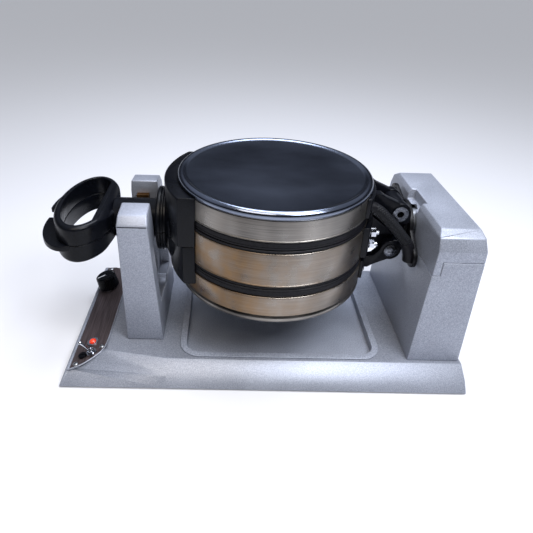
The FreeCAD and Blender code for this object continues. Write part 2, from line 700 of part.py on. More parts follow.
def build():
    nodes = {
        "base_housing": base_housing(), "bottom_cover": bottom_cover(), "rubber_feet": rubber_feet(),
        "drip_tray": tray(), "front_fork": front_fork(), "fork_pads": fork_pads(),
        "control_panel": control_panel(), "panel_screws": panel_screws(),
        "indicator_bezel": indicator_bezel(), "indicator_lens": indicator_lens(),
        "toggle_switch": join([toggle_bushing(), toggle_body()]), "toggle_nut": toggle_nut(),
        "toggle_lever": toggle_lever(), "fuse_holder": fuse_holder(), "heat_control": knob_control(),
        "heat_knob": knob(), "knob_pointer": knob_pointer(), "tower_housing": tower_housing(),
        "tower_cover": tower_cover(), "cover_screws": Part.makeCompound(cover_screws()),
        "bearing_block": bearing_block(), "bearing_bush": bearing_bush(),
        "control_board": control_board(), "terminal_block": terminal_block(),
        "cord_gland": cord_gland(),
        "centre_ring": centre_ring(), "lip_rings": Part.makeCompound([lip_ring(), flip(lip_ring())]),
        "centre_core": centre_core(),
        "fixed_plates": Part.makeCompound([drum_plate(), flip(drum_plate())]),
        "fixed_heaters": Part.makeCompound([heater(axis_z + 9.6), flip(heater(axis_z + 9.6))]),
        "rear_yoke": rear_yoke(),
        "hinge_pins": Part.makeCompound([hinge_pin(), flip(hinge_pin())]),
        "yoke_nuts": Part.makeCompound(yoke_nuts()), "hub_flange": hub_flange(), "journal": journal(),
        "journal_collar": journal_collar(), "top_cable": cable(), "bottom_cable": flip(cable()),
    }
    nodes["top_front_bracket"] = front_bracket(119.0, z_lid - rim_r - 2, -64.0, 66.0)
    nodes["bottom_front_bracket"] = flip(front_bracket(114.7, z_lid - 18, -64.0, 64.0))
    nodes["top_front_neck"] = front_neck(119.0)
    nodes["bottom_front_neck"] = flip(front_neck(114.7))
    for name, shape in (("lid_wall", lid_wall()), ("lid_cap", lid_cap()), ("heat_ring", heat_ring()),
                        ("lid_plate", lid_plate()), ("lid_heater", lid_heater()),
                        ("lid_lining", lid_lining()), ("handle", handle()),
                        ("hinge_arms", hinge_arms()),
                        ("lid_screws", Part.makeCompound(neck_screws() + arm_screws()))):
        nodes["top_" + name] = shape
        nodes["bottom_" + name] = flip(shape)
    return nodes


for name, shape in build().items():
    shape.translate(V(centre_shift, 0, 0))
    shape.exportStep("parts/" + name + ".step")
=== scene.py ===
import bmesh
import bpy
import json
import math
from mathutils import Matrix, Vector


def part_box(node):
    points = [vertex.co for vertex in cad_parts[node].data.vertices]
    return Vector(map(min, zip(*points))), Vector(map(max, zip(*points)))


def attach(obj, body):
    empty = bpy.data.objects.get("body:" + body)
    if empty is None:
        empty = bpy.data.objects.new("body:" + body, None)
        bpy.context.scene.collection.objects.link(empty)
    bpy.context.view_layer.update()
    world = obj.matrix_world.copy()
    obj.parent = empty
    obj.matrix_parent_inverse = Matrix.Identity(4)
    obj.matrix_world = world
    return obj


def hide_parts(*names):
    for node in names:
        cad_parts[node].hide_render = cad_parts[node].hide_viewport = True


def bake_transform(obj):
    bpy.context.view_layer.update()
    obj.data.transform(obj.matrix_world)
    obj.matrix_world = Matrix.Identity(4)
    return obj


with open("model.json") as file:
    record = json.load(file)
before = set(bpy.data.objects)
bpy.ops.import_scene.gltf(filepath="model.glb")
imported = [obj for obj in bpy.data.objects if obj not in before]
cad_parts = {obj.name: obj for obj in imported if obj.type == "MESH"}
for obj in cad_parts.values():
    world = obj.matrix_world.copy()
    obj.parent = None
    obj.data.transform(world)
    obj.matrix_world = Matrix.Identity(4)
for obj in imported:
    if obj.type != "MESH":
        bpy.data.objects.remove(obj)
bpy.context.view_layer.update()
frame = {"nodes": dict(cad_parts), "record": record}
mm = 0.001
ringLow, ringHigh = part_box("centre_ring")
drumMiddle = (ringLow + ringHigh) / 2    # on the spin axis, halfway between the lids
pieceCount = 0


def at(x, y, z):
    # millimetres: x and y from the drum's middle, z from the bench
    return Vector((drumMiddle.x + x * mm, y * mm, z * mm))


turnOver = (Matrix.Translation(drumMiddle) @ Matrix.Rotation(math.pi, 4, "X")
            @ Matrix.Translation(-drumMiddle))    # takes a top lid piece to its place underneath


# camera and light first, so that every piece is judged under them
# the camera's and the lights' settings
view = {"place": (-51.8, -501.0, 418.8), "yaw": 0.92, "down": 27.415, "roll": 1.762,
        "lens": 33.78, "sideways": 0.0626, "upward": -0.1037}
lamps = {
    # places in millimetres; an area lamp's size in metres and power in watts, the sun's size in radians
    "softSun": {"kind": "SUN", "place": (260, -120, 900), "aim": (0, 0, 0),
                "size": 0.6, "power": 0.75, "tint": "#ffffff"},
    "keyLamp": {"kind": "AREA", "place": (330, -400, 800), "aim": (130, -60, 70),
                "size": 0.4, "power": 6.6, "tint": "#f4f7ff"},
    "topLamp": {"kind": "AREA", "place": (60, 260, 1050), "aim": (60, 0, 150),
                "size": 0.6, "power": 9.0, "tint": "#eaf0ff"},
    "frontLamp": {"kind": "AREA", "place": (-200, -420, 760), "aim": (-100, -60, 60),
                  "size": 0.4, "power": 2.4, "tint": "#fff4e6"},
}
# the room's tones from the floor up, and how bright its near side is beside the rest
studio = {"under": "#8f9298", "low": "#34373f", "middle": "#3c4049", "high": "#8a8f9b",
          "overhead": "#a6abb6", "nearSide": 0.12}


def linear(hexColour):
    parts = [int(hexColour[i:i + 2], 16) / 255 for i in (1, 3, 5)]
    return [c / 12.92 if c <= 0.04045 else ((c + 0.055) / 1.055) ** 2.4 for c in parts] + [1.0]


def addNode(tree, kind, values=None, links=None, **settings):
    node = tree.nodes.new(kind)
    for key, value in settings.items():
        setattr(node, key, value)
    for key, value in (values or {}).items():
        node.inputs[key].default_value = value
    for key, source in (links or {}).items():
        tree.links.new(source, node.inputs[key])
    return node


def buildCamera():
    yaw, down, roll = (math.radians(view[k]) for k in ("yaw", "down", "roll"))
    forward = Vector((math.sin(yaw) * math.cos(down), math.cos(yaw) * math.cos(down), -math.sin(down)))
    right = Vector((math.cos(yaw), -math.sin(yaw), 0))
    up = right.cross(forward)
    side = right * math.cos(roll) + up * math.sin(roll)
    top = up * math.cos(roll) - right * math.sin(roll)
    camera = bpy.data.objects.new("mainCamera", bpy.data.cameras.new("mainCamera"))
    camera.matrix_world = (Matrix.Translation(at(*view["place"]))
                           @ Matrix((side, top, -forward)).transposed().to_4x4())
    camera.data.lens, camera.data.sensor_width = view["lens"], 36
    camera.data.shift_x, camera.data.shift_y = view["sideways"], view["upward"]
    bpy.context.scene.collection.objects.link(camera)
    bpy.context.scene.camera = camera


def buildLight():
    for name, lamp in lamps.items():
        data = bpy.data.lights.new(name, lamp["kind"])
        data.energy, data.color = lamp["power"], linear(lamp["tint"])[:3]
        if lamp["kind"] == "SUN":
            data.angle = lamp["size"]
        else:
            data.shape, data.size = "SQUARE", lamp["size"]
        obj = bpy.data.objects.new(name, data)
        obj.location = at(*lamp["place"])
        obj.rotation_euler = (at(*lamp["aim"]) - obj.location).to_track_quat("-Z", "Y").to_euler()
        bpy.context.scene.collection.objects.link(obj)
    world = bpy.data.worlds.new("studio")
    bpy.context.scene.world = world
    world.use_nodes = True
    tree = world.node_tree
    tree.nodes.clear()
    direction = addNode(tree, "ShaderNodeTexCoord")
    height = addNode(tree, "ShaderNodeSeparateXYZ", links={"Vector": direction.outputs["Generated"]})
    lifted = addNode(tree, "ShaderNodeMapRange", {"From Min": -1.0, "From Max": 1.0},
                     {"Value": height.outputs["Z"]})
    sky = addNode(tree, "ShaderNodeValToRGB", links={"Fac": lifted.outputs["Result"]})
    stops = [(0.0, "under"), (0.50, "under"), (0.53, "low"), (0.665, "low"), (0.70, "middle"),
             (0.735, "high"), (1.0, "overhead")]    # 0 is straight down, 0.5 the horizon, 1 straight up
    while len(sky.color_ramp.elements) < len(stops):
        sky.color_ramp.elements.new(0.5)
    for element, (where, tone) in zip(sky.color_ramp.elements, stops):
        element.position, element.color = where, linear(studio[tone])
    # the operator's side of the room is dim, so the near walls stay deep and the flanks catch light
    room = addNode(tree, "ShaderNodeMapRange",
                   {"From Min": -0.95, "From Max": 0.15, "To Min": studio["nearSide"], "To Max": 1.0},
                   {"Value": height.outputs["Y"]}, interpolation_type="SMOOTHSTEP")
    glow = addNode(tree, "ShaderNodeBackground",
                   links={"Color": sky.outputs["Color"], "Strength": room.outputs["Result"]})
    addNode(tree, "ShaderNodeOutputWorld", links={"Surface": glow.outputs["Background"]})


# every look: two sRGB colours that the grain mixes, and grain, patch and bump sizes in millimetres
looks = {
    # steel housing, sprayed with silver metallic powder coat and baked: satin, with a fine even grit
    "silverPowderCoat": {"dark": "#7d828c", "light": "#a4a9b6", "grain": 0.9, "patch": 70, "metallic": 0.35,
                         "roughness": (0.36, 0.46), "bump": 0.03, "bumpGrain": 0.7},
    # the same silver coat on the wipe-clean tray with a coarser grit; its colours are painted lighter and
    # bluer, painted light on the tray's shaded well
    "trayPaintedLightCoat": {"dark": "#7c828f", "light": "#adb3c1", "grain": 1.0, "patch": 45, "metallic": 0.2,
                       "roughness": (0.36, 0.5), "bump": 0.07, "bumpGrain": 0.8},
    # black stove enamel on the hub plate: smooth and half gloss
    "blackEnamel": {"dark": "#060608", "light": "#0e0f12", "grain": 2.0, "patch": 25, "metallic": 0.0,
                    "roughness": (0.34, 0.44), "bump": 0.02, "bumpGrain": 1.2, "gloss": 0.2},
    # glass-filled nylon, injection moulded, fine spark-eroded skin: soft wide highlights
    "mouldedNylon": {"dark": "#040507", "light": "#0b0d14", "grain": 2.0, "patch": 18, "metallic": 0.0,
                     "roughness": (0.26, 0.36), "bump": 0.02, "bumpGrain": 0.6, "gloss": 0.16},
    # silicone and rubber, moulded: dull and a little dusty
    "mouldedRubber": {"dark": "#0a0a0d", "light": "#17171c", "grain": 2.2, "patch": 14, "metallic": 0.0,
                      "roughness": (0.38, 0.55), "bump": 0.04, "bumpGrain": 0.8, "gloss": 0.15},
    # zinc plated steel, tumbled
    "zincPlate": {"dark": "#8c8f93", "light": "#b9bcc0", "grain": 1.5, "patch": 12, "metallic": 1.0,
                  "roughness": (0.28, 0.45), "bump": 0.01, "bumpGrain": 0.8},
    # nickel and chromium plated brass, mirror bright
    "brightChrome": {"dark": "#a6a9b0", "light": "#cfd2d8", "grain": 6.0, "patch": 20, "metallic": 1.0,
                     "roughness": (0.08, 0.18), "bump": 0.0, "bumpGrain": 1.0},
    # turned steel pins, blackened with oil and heat
    "oiledSteel": {"dark": "#4b4e55", "light": "#85888f", "grain": 2.0, "patch": 8, "metallic": 1.0,
                   "roughness": (0.22, 0.38), "bump": 0.01, "bumpGrain": 0.8},
    # sintered oil bronze
    "oilBronze": {"dark": "#6e4d2c", "light": "#9a7446", "grain": 0.8, "patch": 9, "metallic": 1.0,
                  "roughness": (0.35, 0.5), "bump": 0.02, "bumpGrain": 0.7},
    # sand cast aluminium, as cast
    "castAluminium": {"dark": "#7f8286", "light": "#a5a8ab", "grain": 1.2, "patch": 30, "metallic": 0.9,
                      "roughness": (0.45, 0.6), "bump": 0.12, "bumpGrain": 1.0},
    # baking plates: cast aluminium under dark non-stick coating, seasoned brown in use
    "seasonedPlate": {"dark": "#19181a", "light": "#3a332e", "grain": 2.4, "patch": 26, "metallic": 0.2,
                      "roughness": (0.38, 0.6), "bump": 0.05, "bumpGrain": 1.0},
    # glass-epoxy board with green mask
    "greenBoard": {"dark": "#1c4a30", "light": "#2c6a43", "grain": 2.0, "patch": 9, "metallic": 0.0,
                   "roughness": (0.35, 0.5), "bump": 0.02, "bumpGrain": 0.8},
    # pressed ceramic fibre and steatite, chalky
    "whiteCeramic": {"dark": "#c3bcae", "light": "#ddd7ca", "grain": 1.0, "patch": 15, "metallic": 0.0,
                     "roughness": (0.7, 0.85), "bump": 0.08, "bumpGrain": 0.8},
    # printed white enamel line
    "whiteEnamel": {"dark": "#dfe2e6", "light": "#f4f5f7", "grain": 1.0, "patch": 8, "metallic": 0.0,
                    "roughness": (0.4, 0.5), "bump": 0.0, "bumpGrain": 1.0},
}


def startMaterial(name):
    material = bpy.data.materials.new(name)
    material.use_nodes = True
    tree = material.node_tree
    tree.nodes.clear()
    shader = addNode(tree, "ShaderNodeBsdfPrincipled")
    addNode(tree, "ShaderNodeOutputMaterial", links={"Surface": shader.outputs["BSDF"]})
    return material, tree, shader


def noise(tree, vector, size, detail=3.0):
    made = addNode(tree, "ShaderNodeTexNoise", {"Scale": 1 / (size * mm), "Detail": detail},
                   {"Vector": vector})
    return made.outputs["Fac"]


def spread(tree, value, low, high, fromLow=0.3, fromHigh=0.7):
    made = addNode(tree, "ShaderNodeMapRange",
                   {"From Min": fromLow, "From Max": fromHigh, "To Min": low, "To Max": high},
                   {"Value": value})
    return made.outputs["Result"]


def blendColours(tree, factor, first, second):
    made = addNode(tree, "ShaderNodeMix", data_type="RGBA")
    tree.links.new(factor, made.inputs[0])
    for socket, colour in ((6, first), (7, second)):
        if isinstance(colour, str):
            made.inputs[socket].default_value = linear(colour)
        else:
            tree.links.new(colour, made.inputs[socket])
    return made.outputs[2]


patchShare = 0.35    # how strongly the broad patches count beside the fine grain


def grainMaterial(name, look):
    material, tree, shader = startMaterial(name)
    where = addNode(tree, "ShaderNodeTexCoord").outputs["Object"]
    grain, patch = noise(tree, where, look["grain"], 4.0), noise(tree, where, look["patch"], 2.0)
    both = addNode(tree, "ShaderNodeMath", {1: patchShare}, {0: patch, 2: grain},
                   operation="MULTIPLY_ADD").outputs[0]
    colour = blendColours(tree, spread(tree, both, 0, 1, 0.48, 0.88), look["dark"], look["light"])
    tree.links.new(colour, shader.inputs["Base Color"])
    tree.links.new(spread(tree, patch, *look["roughness"]), shader.inputs["Roughness"])
    shader.inputs["Metallic"].default_value = look["metallic"]
    shader.inputs["Specular IOR Level"].default_value = look.get("gloss", 0.5)
    if look["bump"]:
        relief = addNode(tree, "ShaderNodeBump", {"Strength": 0.5, "Distance": look["bump"] * mm},
                         {"Height": noise(tree, where, look["bumpGrain"], 2.0)})
        tree.links.new(relief.outputs["Normal"], shader.inputs["Normal"])
    return material


# the amber tint fades from full to a quarter between the two x places below, in metres; this darker, browner
# left side is painted shade
steelLook = {"dark": "#4c4b4a", "light": "#96928c", "amberTintAndBrownReflection": "#8a683c", "lineMm": 0.5, "paintedReflectionBandMm": 55,
             "stainMm": 16, "roughness": (0.24, 0.38), "scratch": 0.012, "paintedShadeAcross": (-0.09, 0.06)}


def brushedSteel(name, warmth):
    # deep drawn stainless steel, brushed round the drum, with amber heat tint in random stains; the upright
    # bands are painted reflection, the browner left side is painted shade, and the warm copy also paints the
    # brown table's reflection on the lower lid wall
    material, tree, shader = startMaterial(name)
    where = addNode(tree, "ShaderNodeTexCoord").outputs["Object"]
    lines = addNode(tree, "ShaderNodeMapping", {"Scale": (0.012, 0.012, 1.0)}, {"Vector": where}).outputs[0]
    brush = noise(tree, lines, steelLook["lineMm"])    # real grit lines are finer; this is as coarse as shows
    # upright bands of painted reflection: this noise, stretched tall, sets most of the steel's colour
    tall = addNode(tree, "ShaderNodeMapping", {"Scale": (1.0, 1.0, 0.25)}, {"Vector": where}).outputs[0]
    paintedReflectionBand = noise(tree, tall, steelLook["paintedReflectionBandMm"], 2.0)
    stain = noise(tree, where, steelLook["stainMm"], 5.0)
    both = addNode(tree, "ShaderNodeMath", {1: patchShare}, {0: brush, 2: paintedReflectionBand},
                   operation="MULTIPLY_ADD").outputs[0]
    steel = blendColours(tree, spread(tree, both, 0, 1, 0.47, 0.87), steelLook["dark"], steelLook["light"])
    sides = addNode(tree, "ShaderNodeSeparateXYZ", links={"Vector": where}).outputs
    # the amber share: heat stains at random, faded towards the right so that the left side carries painted
    # shade, and scaled by the warmth
    paintedShadeLeft = spread(tree, sides["X"], 1.0, 0.25, *steelLook["paintedShadeAcross"])
    heatTintAndPaintedLight = addNode(tree, "ShaderNodeMath", links={0: paintedShadeLeft, 1: spread(tree, stain, 0.25, 1.0)},
                   operation="MULTIPLY").outputs[0]
    heatTintAndPaintedLight = addNode(tree, "ShaderNodeMath", {1: warmth}, {0: heatTintAndPaintedLight}, operation="MULTIPLY").outputs[0]
    tree.links.new(blendColours(tree, heatTintAndPaintedLight, steel, steelLook["amberTintAndBrownReflection"]), shader.inputs["Base Color"])
    tree.links.new(spread(tree, stain, *steelLook["roughness"]), shader.inputs["Roughness"])
    shader.inputs["Metallic"].default_value = 1.0
    shader.inputs["Anisotropic"].default_value = 0.6
    about = addNode(tree, "ShaderNodeTangent", direction_type="RADIAL", axis="Z")
    tree.links.new(about.outputs[0], shader.inputs["Tangent"])
    relief = addNode(tree, "ShaderNodeBump", {"Strength": 0.35, "Distance": steelLook["scratch"] * mm},
                     {"Height": brush})
    tree.links.new(relief.outputs["Normal"], shader.inputs["Normal"])
    return material


capLook = {"dark": "#6d7482", "light": "#868e9f", "roughness": (0.15, 0.2), "smearMm": 60, "fineMm": 1.2}


def polishedSteel(name):
    # the same steel buffed to a dark mirror, with faint wiping marks
    material, tree, shader = startMaterial(name)
    where = addNode(tree, "ShaderNodeTexCoord").outputs["Object"]
    wiped = addNode(tree, "ShaderNodeMapping", {"Scale": (0.6, 1.0, 1.0), "Rotation": (0, 0, 0.6)},
                    {"Vector": where}).outputs[0]
    smear, fine = noise(tree, wiped, capLook["smearMm"]), noise(tree, wiped, capLook["fineMm"])
    tree.links.new(blendColours(tree, spread(tree, smear, 0, 1), capLook["dark"], capLook["light"]),
                   shader.inputs["Base Color"])
    both = addNode(tree, "ShaderNodeMath", {1: 0.4}, {0: fine, 2: smear},
                   operation="MULTIPLY_ADD").outputs[0]
    tree.links.new(spread(tree, both, *capLook["roughness"], 0.5, 0.9), shader.inputs["Roughness"])
    shader.inputs["Metallic"].default_value = 1.0
    return material


panelLook = {"dark": "#4a413f", "light": "#75686a", "lineMm": 0.7, "roughness": (0.34, 0.46)}


def panelSteel(name):
    # brushed brownish panel plate: lines run across the machine
    material, tree, shader = startMaterial(name)
    where = addNode(tree, "ShaderNodeTexCoord").outputs["Object"]
    lines = addNode(tree, "ShaderNodeMapping", {"Scale": (1.0, 0.02, 1.0)}, {"Vector": where}).outputs[0]
    brush = noise(tree, lines, panelLook["lineMm"])
    tree.links.new(blendColours(tree, spread(tree, brush, 0, 1), panelLook["dark"], panelLook["light"]),
                   shader.inputs["Base Color"])
    tree.links.new(spread(tree, brush, *panelLook["roughness"]), shader.inputs["Roughness"])
    shader.inputs["Metallic"].default_value = 0.75
    return material


lensLook = {"dark": "#b3200c", "light": "#ee4a26", "lit": "#ff3a18", "cloudMm": 3.0, "roughness": (0.1, 0.18)}


def redLens(name):
    # clear red acrylic over a neon lamp: a gloss skin with a little light from inside
    material, tree, shader = startMaterial(name)
    where = addNode(tree, "ShaderNodeTexCoord").outputs["Object"]
    glow = noise(tree, where, lensLook["cloudMm"], 2.0)
    tree.links.new(blendColours(tree, spread(tree, glow, 0, 1), lensLook["dark"], lensLook["light"]),
                   shader.inputs["Base Color"])
    tree.links.new(spread(tree, glow, *lensLook["roughness"]), shader.inputs["Roughness"])
    shader.inputs["Coat Weight"].default_value = 0.6
    shader.inputs["Emission Color"].default_value = linear(lensLook["lit"])
    shader.inputs["Emission Strength"].default_value = 0.25
    return material


# one strand's width, how many run each way round, and how deep the weave is
sleeveLook = {"strandMm": 2.6, "starts": 8, "deepMm": 0.5, "dark": "#050608", "light": "#14161c"}


def braidedSleeve(name):
    # woven polyester sleeving: two sets of flat strands cross round the leads
    # the UV map holds millimetres along the lead and turns about it
    material, tree, shader = startMaterial(name)
    uv = addNode(tree, "ShaderNodeUVMap", uv_map="UVMap").outputs["UV"]
    parts = addNode(tree, "ShaderNodeSeparateXYZ", links={"Vector": uv}).outputs
    along = addNode(tree, "ShaderNodeMath", {1: math.pi / sleeveLook["strandMm"]}, {0: parts["X"]},
                    operation="MULTIPLY").outputs[0]
    about = addNode(tree, "ShaderNodeMath", {1: math.pi * sleeveLook["starts"]}, {0: parts["Y"]},
                    operation="MULTIPLY").outputs[0]
    waves = []
    for step in ("ADD", "SUBTRACT"):
        phase = addNode(tree, "ShaderNodeMath", links={0: along, 1: about}, operation=step).outputs[0]
        wave = addNode(tree, "ShaderNodeMath", links={0: phase}, operation="SINE").outputs[0]
        waves.append(addNode(tree, "ShaderNodeMath", links={0: wave}, operation="ABSOLUTE").outputs[0])
    weave = addNode(tree, "ShaderNodeMath", links={0: waves[0], 1: waves[1]},
                    operation="MULTIPLY").outputs[0]
    tree.links.new(blendColours(tree, weave, sleeveLook["dark"], sleeveLook["light"]),
                   shader.inputs["Base Color"])
    shader.inputs["Roughness"].default_value = 0.5
    shader.inputs["Specular IOR Level"].default_value = 0.25
    relief = addNode(tree, "ShaderNodeBump", {"Strength": 0.8, "Distance": sleeveLook["deepMm"] * mm},
                     {"Height": weave})
    tree.links.new(relief.outputs["Normal"], shader.inputs["Normal"])
    return material


finish = {name: grainMaterial(name, look) for name, look in looks.items()}
finish["brushedSteel"] = brushedSteel("brushedSteel", 0.08)
# the warm copy: heat tint on the centre ring, and a painted reflection of the brown table on the lower lid
# wall
finish["heatTintAndReflectionSteel"] = brushedSteel("heatTintAndReflectionSteel", 0.95)
finish["polishedSteel"] = polishedSteel("polishedSteel")
finish["panelSteel"] = panelSteel("panelSteel")
finish["redLens"] = redLens("redLens")
finish["braidedSleeve"] = braidedSleeve("braidedSleeve")
print("materials:", len(finish))

# which finish each record slot takes
slotFinish = {
    "silver_paint": "silverPowderCoat", "steel_brushed": "brushedSteel", "steel_polished": "polishedSteel",
    "steel_plain": "zincPlate", "panel_metal": "panelSteel", "black_plastic": "mouldedNylon",
    "black_rubber": "mouldedRubber", "black_paint": "blackEnamel", "bright_chrome": "brightChrome",
    "red_lens": "redLens", "white_mark": "whiteEnamel", "bronze": "oilBronze", "cast_alu": "castAluminium",
    "board_green": "greenBoard", "ceramic_white": "whiteCeramic", "sleeve": "braidedSleeve",
}
nodeSlot = {part["node"]: part["material_slot"] for part in frame["record"]["subparts"]}
nodeBody = {node: body for body, nodes in frame["record"]["behaviour"]["bodies"].items() for node in nodes}
# nodes whose finish differs from the rest of their slot
ownFinish = {
    "hinge_pins": "oiledSteel", "centre_ring": "heatTintAndReflectionSteel", "drip_tray": "trayPaintedLightCoat",
    "fixed_plates": "seasonedPlate", "top_lid_plate": "seasonedPlate", "bottom_lid_plate": "seasonedPlate",
    # the lower lid wall takes the warm copy as a painted brown reflection
    "bottom_lid_wall": "heatTintAndReflectionSteel", "bottom_lid_cap": "brushedSteel",
}


def finishOf(node):
    return finish[ownFinish.get(node, slotFinish[nodeSlot[node]])]


for node, obj in frame["nodes"].items():
    obj.data.materials.clear()
    obj.data.materials.append(finishOf(node))


def newObject(name, data):
    made = bpy.data.objects.new(name, data)
    bpy.context.scene.collection.objects.link(made)
    return made


def newPiece(name, mesh, node, smooth=32):
    # one visible piece in place of a CAD node; edges sharper than smooth, in degrees, stay crisp
    global pieceCount
    obj = newObject(name, mesh)
    mesh.materials.clear()
    mesh.materials.append(finishOf(node))
    mesh.shade_smooth()
    mesh.set_sharp_from_angle(angle=math.radians(smooth))
    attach(obj, nodeBody[node])
    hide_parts(node)
    pieceCount += 1


def bakeMesh(obj):
    made = bpy.data.meshes.new_from_object(obj.evaluated_get(bpy.context.evaluated_depsgraph_get()))
    obj.modifiers.clear()
    return made


def meshOf(bm, name):
    mesh = bpy.data.meshes.new(name)
    bm.to_mesh(mesh)
    bm.free()
    return mesh


sharpFrom = 24    # degrees between two faces from which their edge gets a round
roomForRound = 1.6    # how many round widths each face beside it has to have free


def longEnough(edge, width):
    # an edge takes a round only where both faces beside it are wide enough to give it room
    if len(edge.link_faces) != 2 or edge.calc_face_angle(0.0) < math.radians(sharpFrom):
        return False
    length = max(edge.calc_length(), 1e-9)
    return all(face.calc_area() / length > width * roomForRound * mm for face in edge.link_faces)


def softCopy(node, name, width, segments=3):
    bm = bmesh.new()
    bm.from_mesh(frame["nodes"][node].data)
    bmesh.ops.remove_doubles(bm, verts=bm.verts[:], dist=0.01 * mm)
    bmesh.ops.dissolve_limit(bm, angle_limit=math.radians(0.5), verts=bm.verts[:], edges=bm.edges[:])
    weight = bm.edges.layers.float.new("bevel_weight_edge")
    for edge in bm.edges:
        edge[weight] = 1.0 if longEnough(edge, width) else 0.0
    holder = newObject(name, meshOf(bm, name))
    bevel = holder.modifiers.new("roundedEdges", "BEVEL")
    bevel.width, bevel.segments, bevel.limit_method = width * mm, segments, "WEIGHT"
    bevel.use_clamp_overlap = False
    made = bakeMesh(holder)
    bpy.data.objects.remove(holder)
    return made


# castings and mouldings whose CAD shape is right: a merged copy with its edges rounded, in millimetres
rounded = {
    "baseHousing": ("base_housing", 1.0), "frontFork": ("front_fork", 1.6),
    "towerHousing": ("tower_housing", 1.0), "towerCover": ("tower_cover", 1.3),
    "dripTray": ("drip_tray", 0.4), "controlPanel": ("control_panel", 0.3),
    "topFrontBracket": ("top_front_bracket", 0.6), "bottomFrontBracket": ("bottom_front_bracket", 0.6),
    "topFrontNeck": ("top_front_neck", 0.5), "bottomFrontNeck": ("bottom_front_neck", 0.5),
    "topHandle": ("top_handle", 0.8), "bottomHandle": ("bottom_handle", 0.8),
    "topHingeArms": ("top_hinge_arms", 1.0), "bottomHingeArms": ("bottom_hinge_arms", 1.0),
    "rearYoke": ("rear_yoke", 0.8), "hubFlange": ("hub_flange", 0.7),
}
for name, (node, width) in rounded.items():
    newPiece(name, softCopy(node, name, width), node)
print("rounded castings:", len(rounded))


def arc(r, z, radius, start, end, steps):
    turns = [math.radians(start + (end - start) * k / steps) for k in range(steps + 1)]
    return [(r + radius * math.cos(t), z + radius * math.sin(t)) for t in turns]


def lathe(profile, name, segments=160, under=False):
    # a closed section, radius and height in millimetres, turned about the drum's upright middle line
    bm = bmesh.new()
    loops = []
    for r, z in profile:
        if r == 0:    # a point on the middle line itself
            loops.append([bm.verts.new(at(0, 0, z))] * segments)
            continue
        angles = [2 * math.pi * k / segments for k in range(segments)]
        loops.append([bm.verts.new(at(r * math.cos(a), r * math.sin(a), z)) for a in angles])
    for low, high in zip(loops, loops[1:] + loops[:1]):
        for k in range(segments):
            corners = (low[k], low[k - 1], high[k - 1], high[k])
            ring = [v for i, v in enumerate(corners) if v not in corners[:i]]
            if len(ring) > 2:
                bm.faces.new(ring)
    if under:
        bmesh.ops.transform(bm, matrix=turnOver, verts=bm.verts[:])
    bmesh.ops.recalc_face_normals(bm, faces=bm.faces[:])
    return meshOf(bm, name)


# drum and lid sections: radius and height above the bench, in millimetres, for the upper half
lid = {"wallR": 104.0, "inner": 102.2, "seam": 203.2, "rimR": 100.2, "rimZ": 207.2, "rimBead": 4.75,
       "insetR": 94.6, "insetZ": 210.3, "crownZ": 210.9, "hemZ": 180.2}
capSection = ([(lid["inner"], lid["seam"]), (103.3, lid["seam"])]
              + arc(lid["rimR"], lid["rimZ"], lid["rimBead"], -46, 118, 14)
              + [(96.6, 210.75), (95.6, 210.4), (lid["insetR"], lid["insetZ"]), (60, 210.7), (25, 210.88),
                 (0, lid["crownZ"]), (0, 209.4), (94.0, 209.0), (97.0, 209.2)]
              + arc(lid["rimR"], lid["rimZ"], 3.4, 110, -40, 8))
wallSection = ([(lid["wallR"] - 0.7, lid["seam"]), (lid["wallR"] - 0.1, lid["seam"] - 0.3),
                (lid["wallR"], lid["seam"] - 1.0), (lid["wallR"], lid["hemZ"] + 2.6)]
               + arc(lid["wallR"] - 0.5, lid["hemZ"] + 1.0, 0.85, 70, -80, 6)
               + [(lid["inner"], lid["hemZ"]), (lid["inner"], lid["seam"])])
bandSection = [(99.6, 171.7), (102.7, 171.7), (103.4, 172.3), (103.4, 173.7), (102.9, 174.0),
               (102.9, 174.4), (103.4, 174.7), (103.4, 178.9), (102.8, 179.9), (99.6, 179.9)]
lipSection = [(99.6, 168.1), (103.0, 168.1), (103.6, 168.7), (103.6, 170.3), (103.0, 170.9), (99.6, 170.9)]
ringSection = (arc(103.45, 131.0, 0.85, -90, 65, 6) + [(104.0, 132.8), (104.0, 165.2)]
               + arc(103.45, 167.0, 0.85, -65, 90, 6) + [(102.2, 167.85), (102.2, 130.15)])
for under, prefix in ((False, "top"), (True, "bottom")):
    for name, section, node, smooth in (("LidCap", capSection, prefix + "_lid_cap", 40),
                                        ("LidWall", wallSection, prefix + "_lid_wall", 40),
                                        ("HeatBand", bandSection, prefix + "_heat_ring", 30),
                                        ("DrumLip", lipSection, "lip_rings", 30)):
        newPiece(prefix + name, lathe(section, name, under=under), node, smooth=smooth)
newPiece("centreBand", lathe(ringSection, "centreBand"), "centre_ring", smooth=40)
print("pieces with the turned shells:", pieceCount)


def newTree(name, sizes):
    # a Geometry Nodes tree with named inputs, each a kind and a starting value
    tree = bpy.data.node_groups.new(name, "GeometryNodeTree")
    tree.interface.new_socket("Geometry", in_out="INPUT", socket_type="NodeSocketGeometry")
    for label, (kind, value) in sizes.items():
        made = tree.interface.new_socket(label, in_out="INPUT", socket_type=kind)
        if value is not None:
            made.default_value = value
    tree.interface.new_socket("Geometry", in_out="OUTPUT", socket_type="NodeSocketGeometry")
    return tree, addNode(tree, "NodeGroupInput").outputs


def finishTree(tree, inputs, geometry):
    joined = addNode(tree, "GeometryNodeRealizeInstances", links={"Geometry": geometry})
    dressed = addNode(tree, "GeometryNodeSetMaterial",
                      links={"Geometry": joined.outputs[0], "Material": inputs["Material"]})
    addNode(tree, "NodeGroupOutput", links={"Geometry": dressed.outputs[0]})


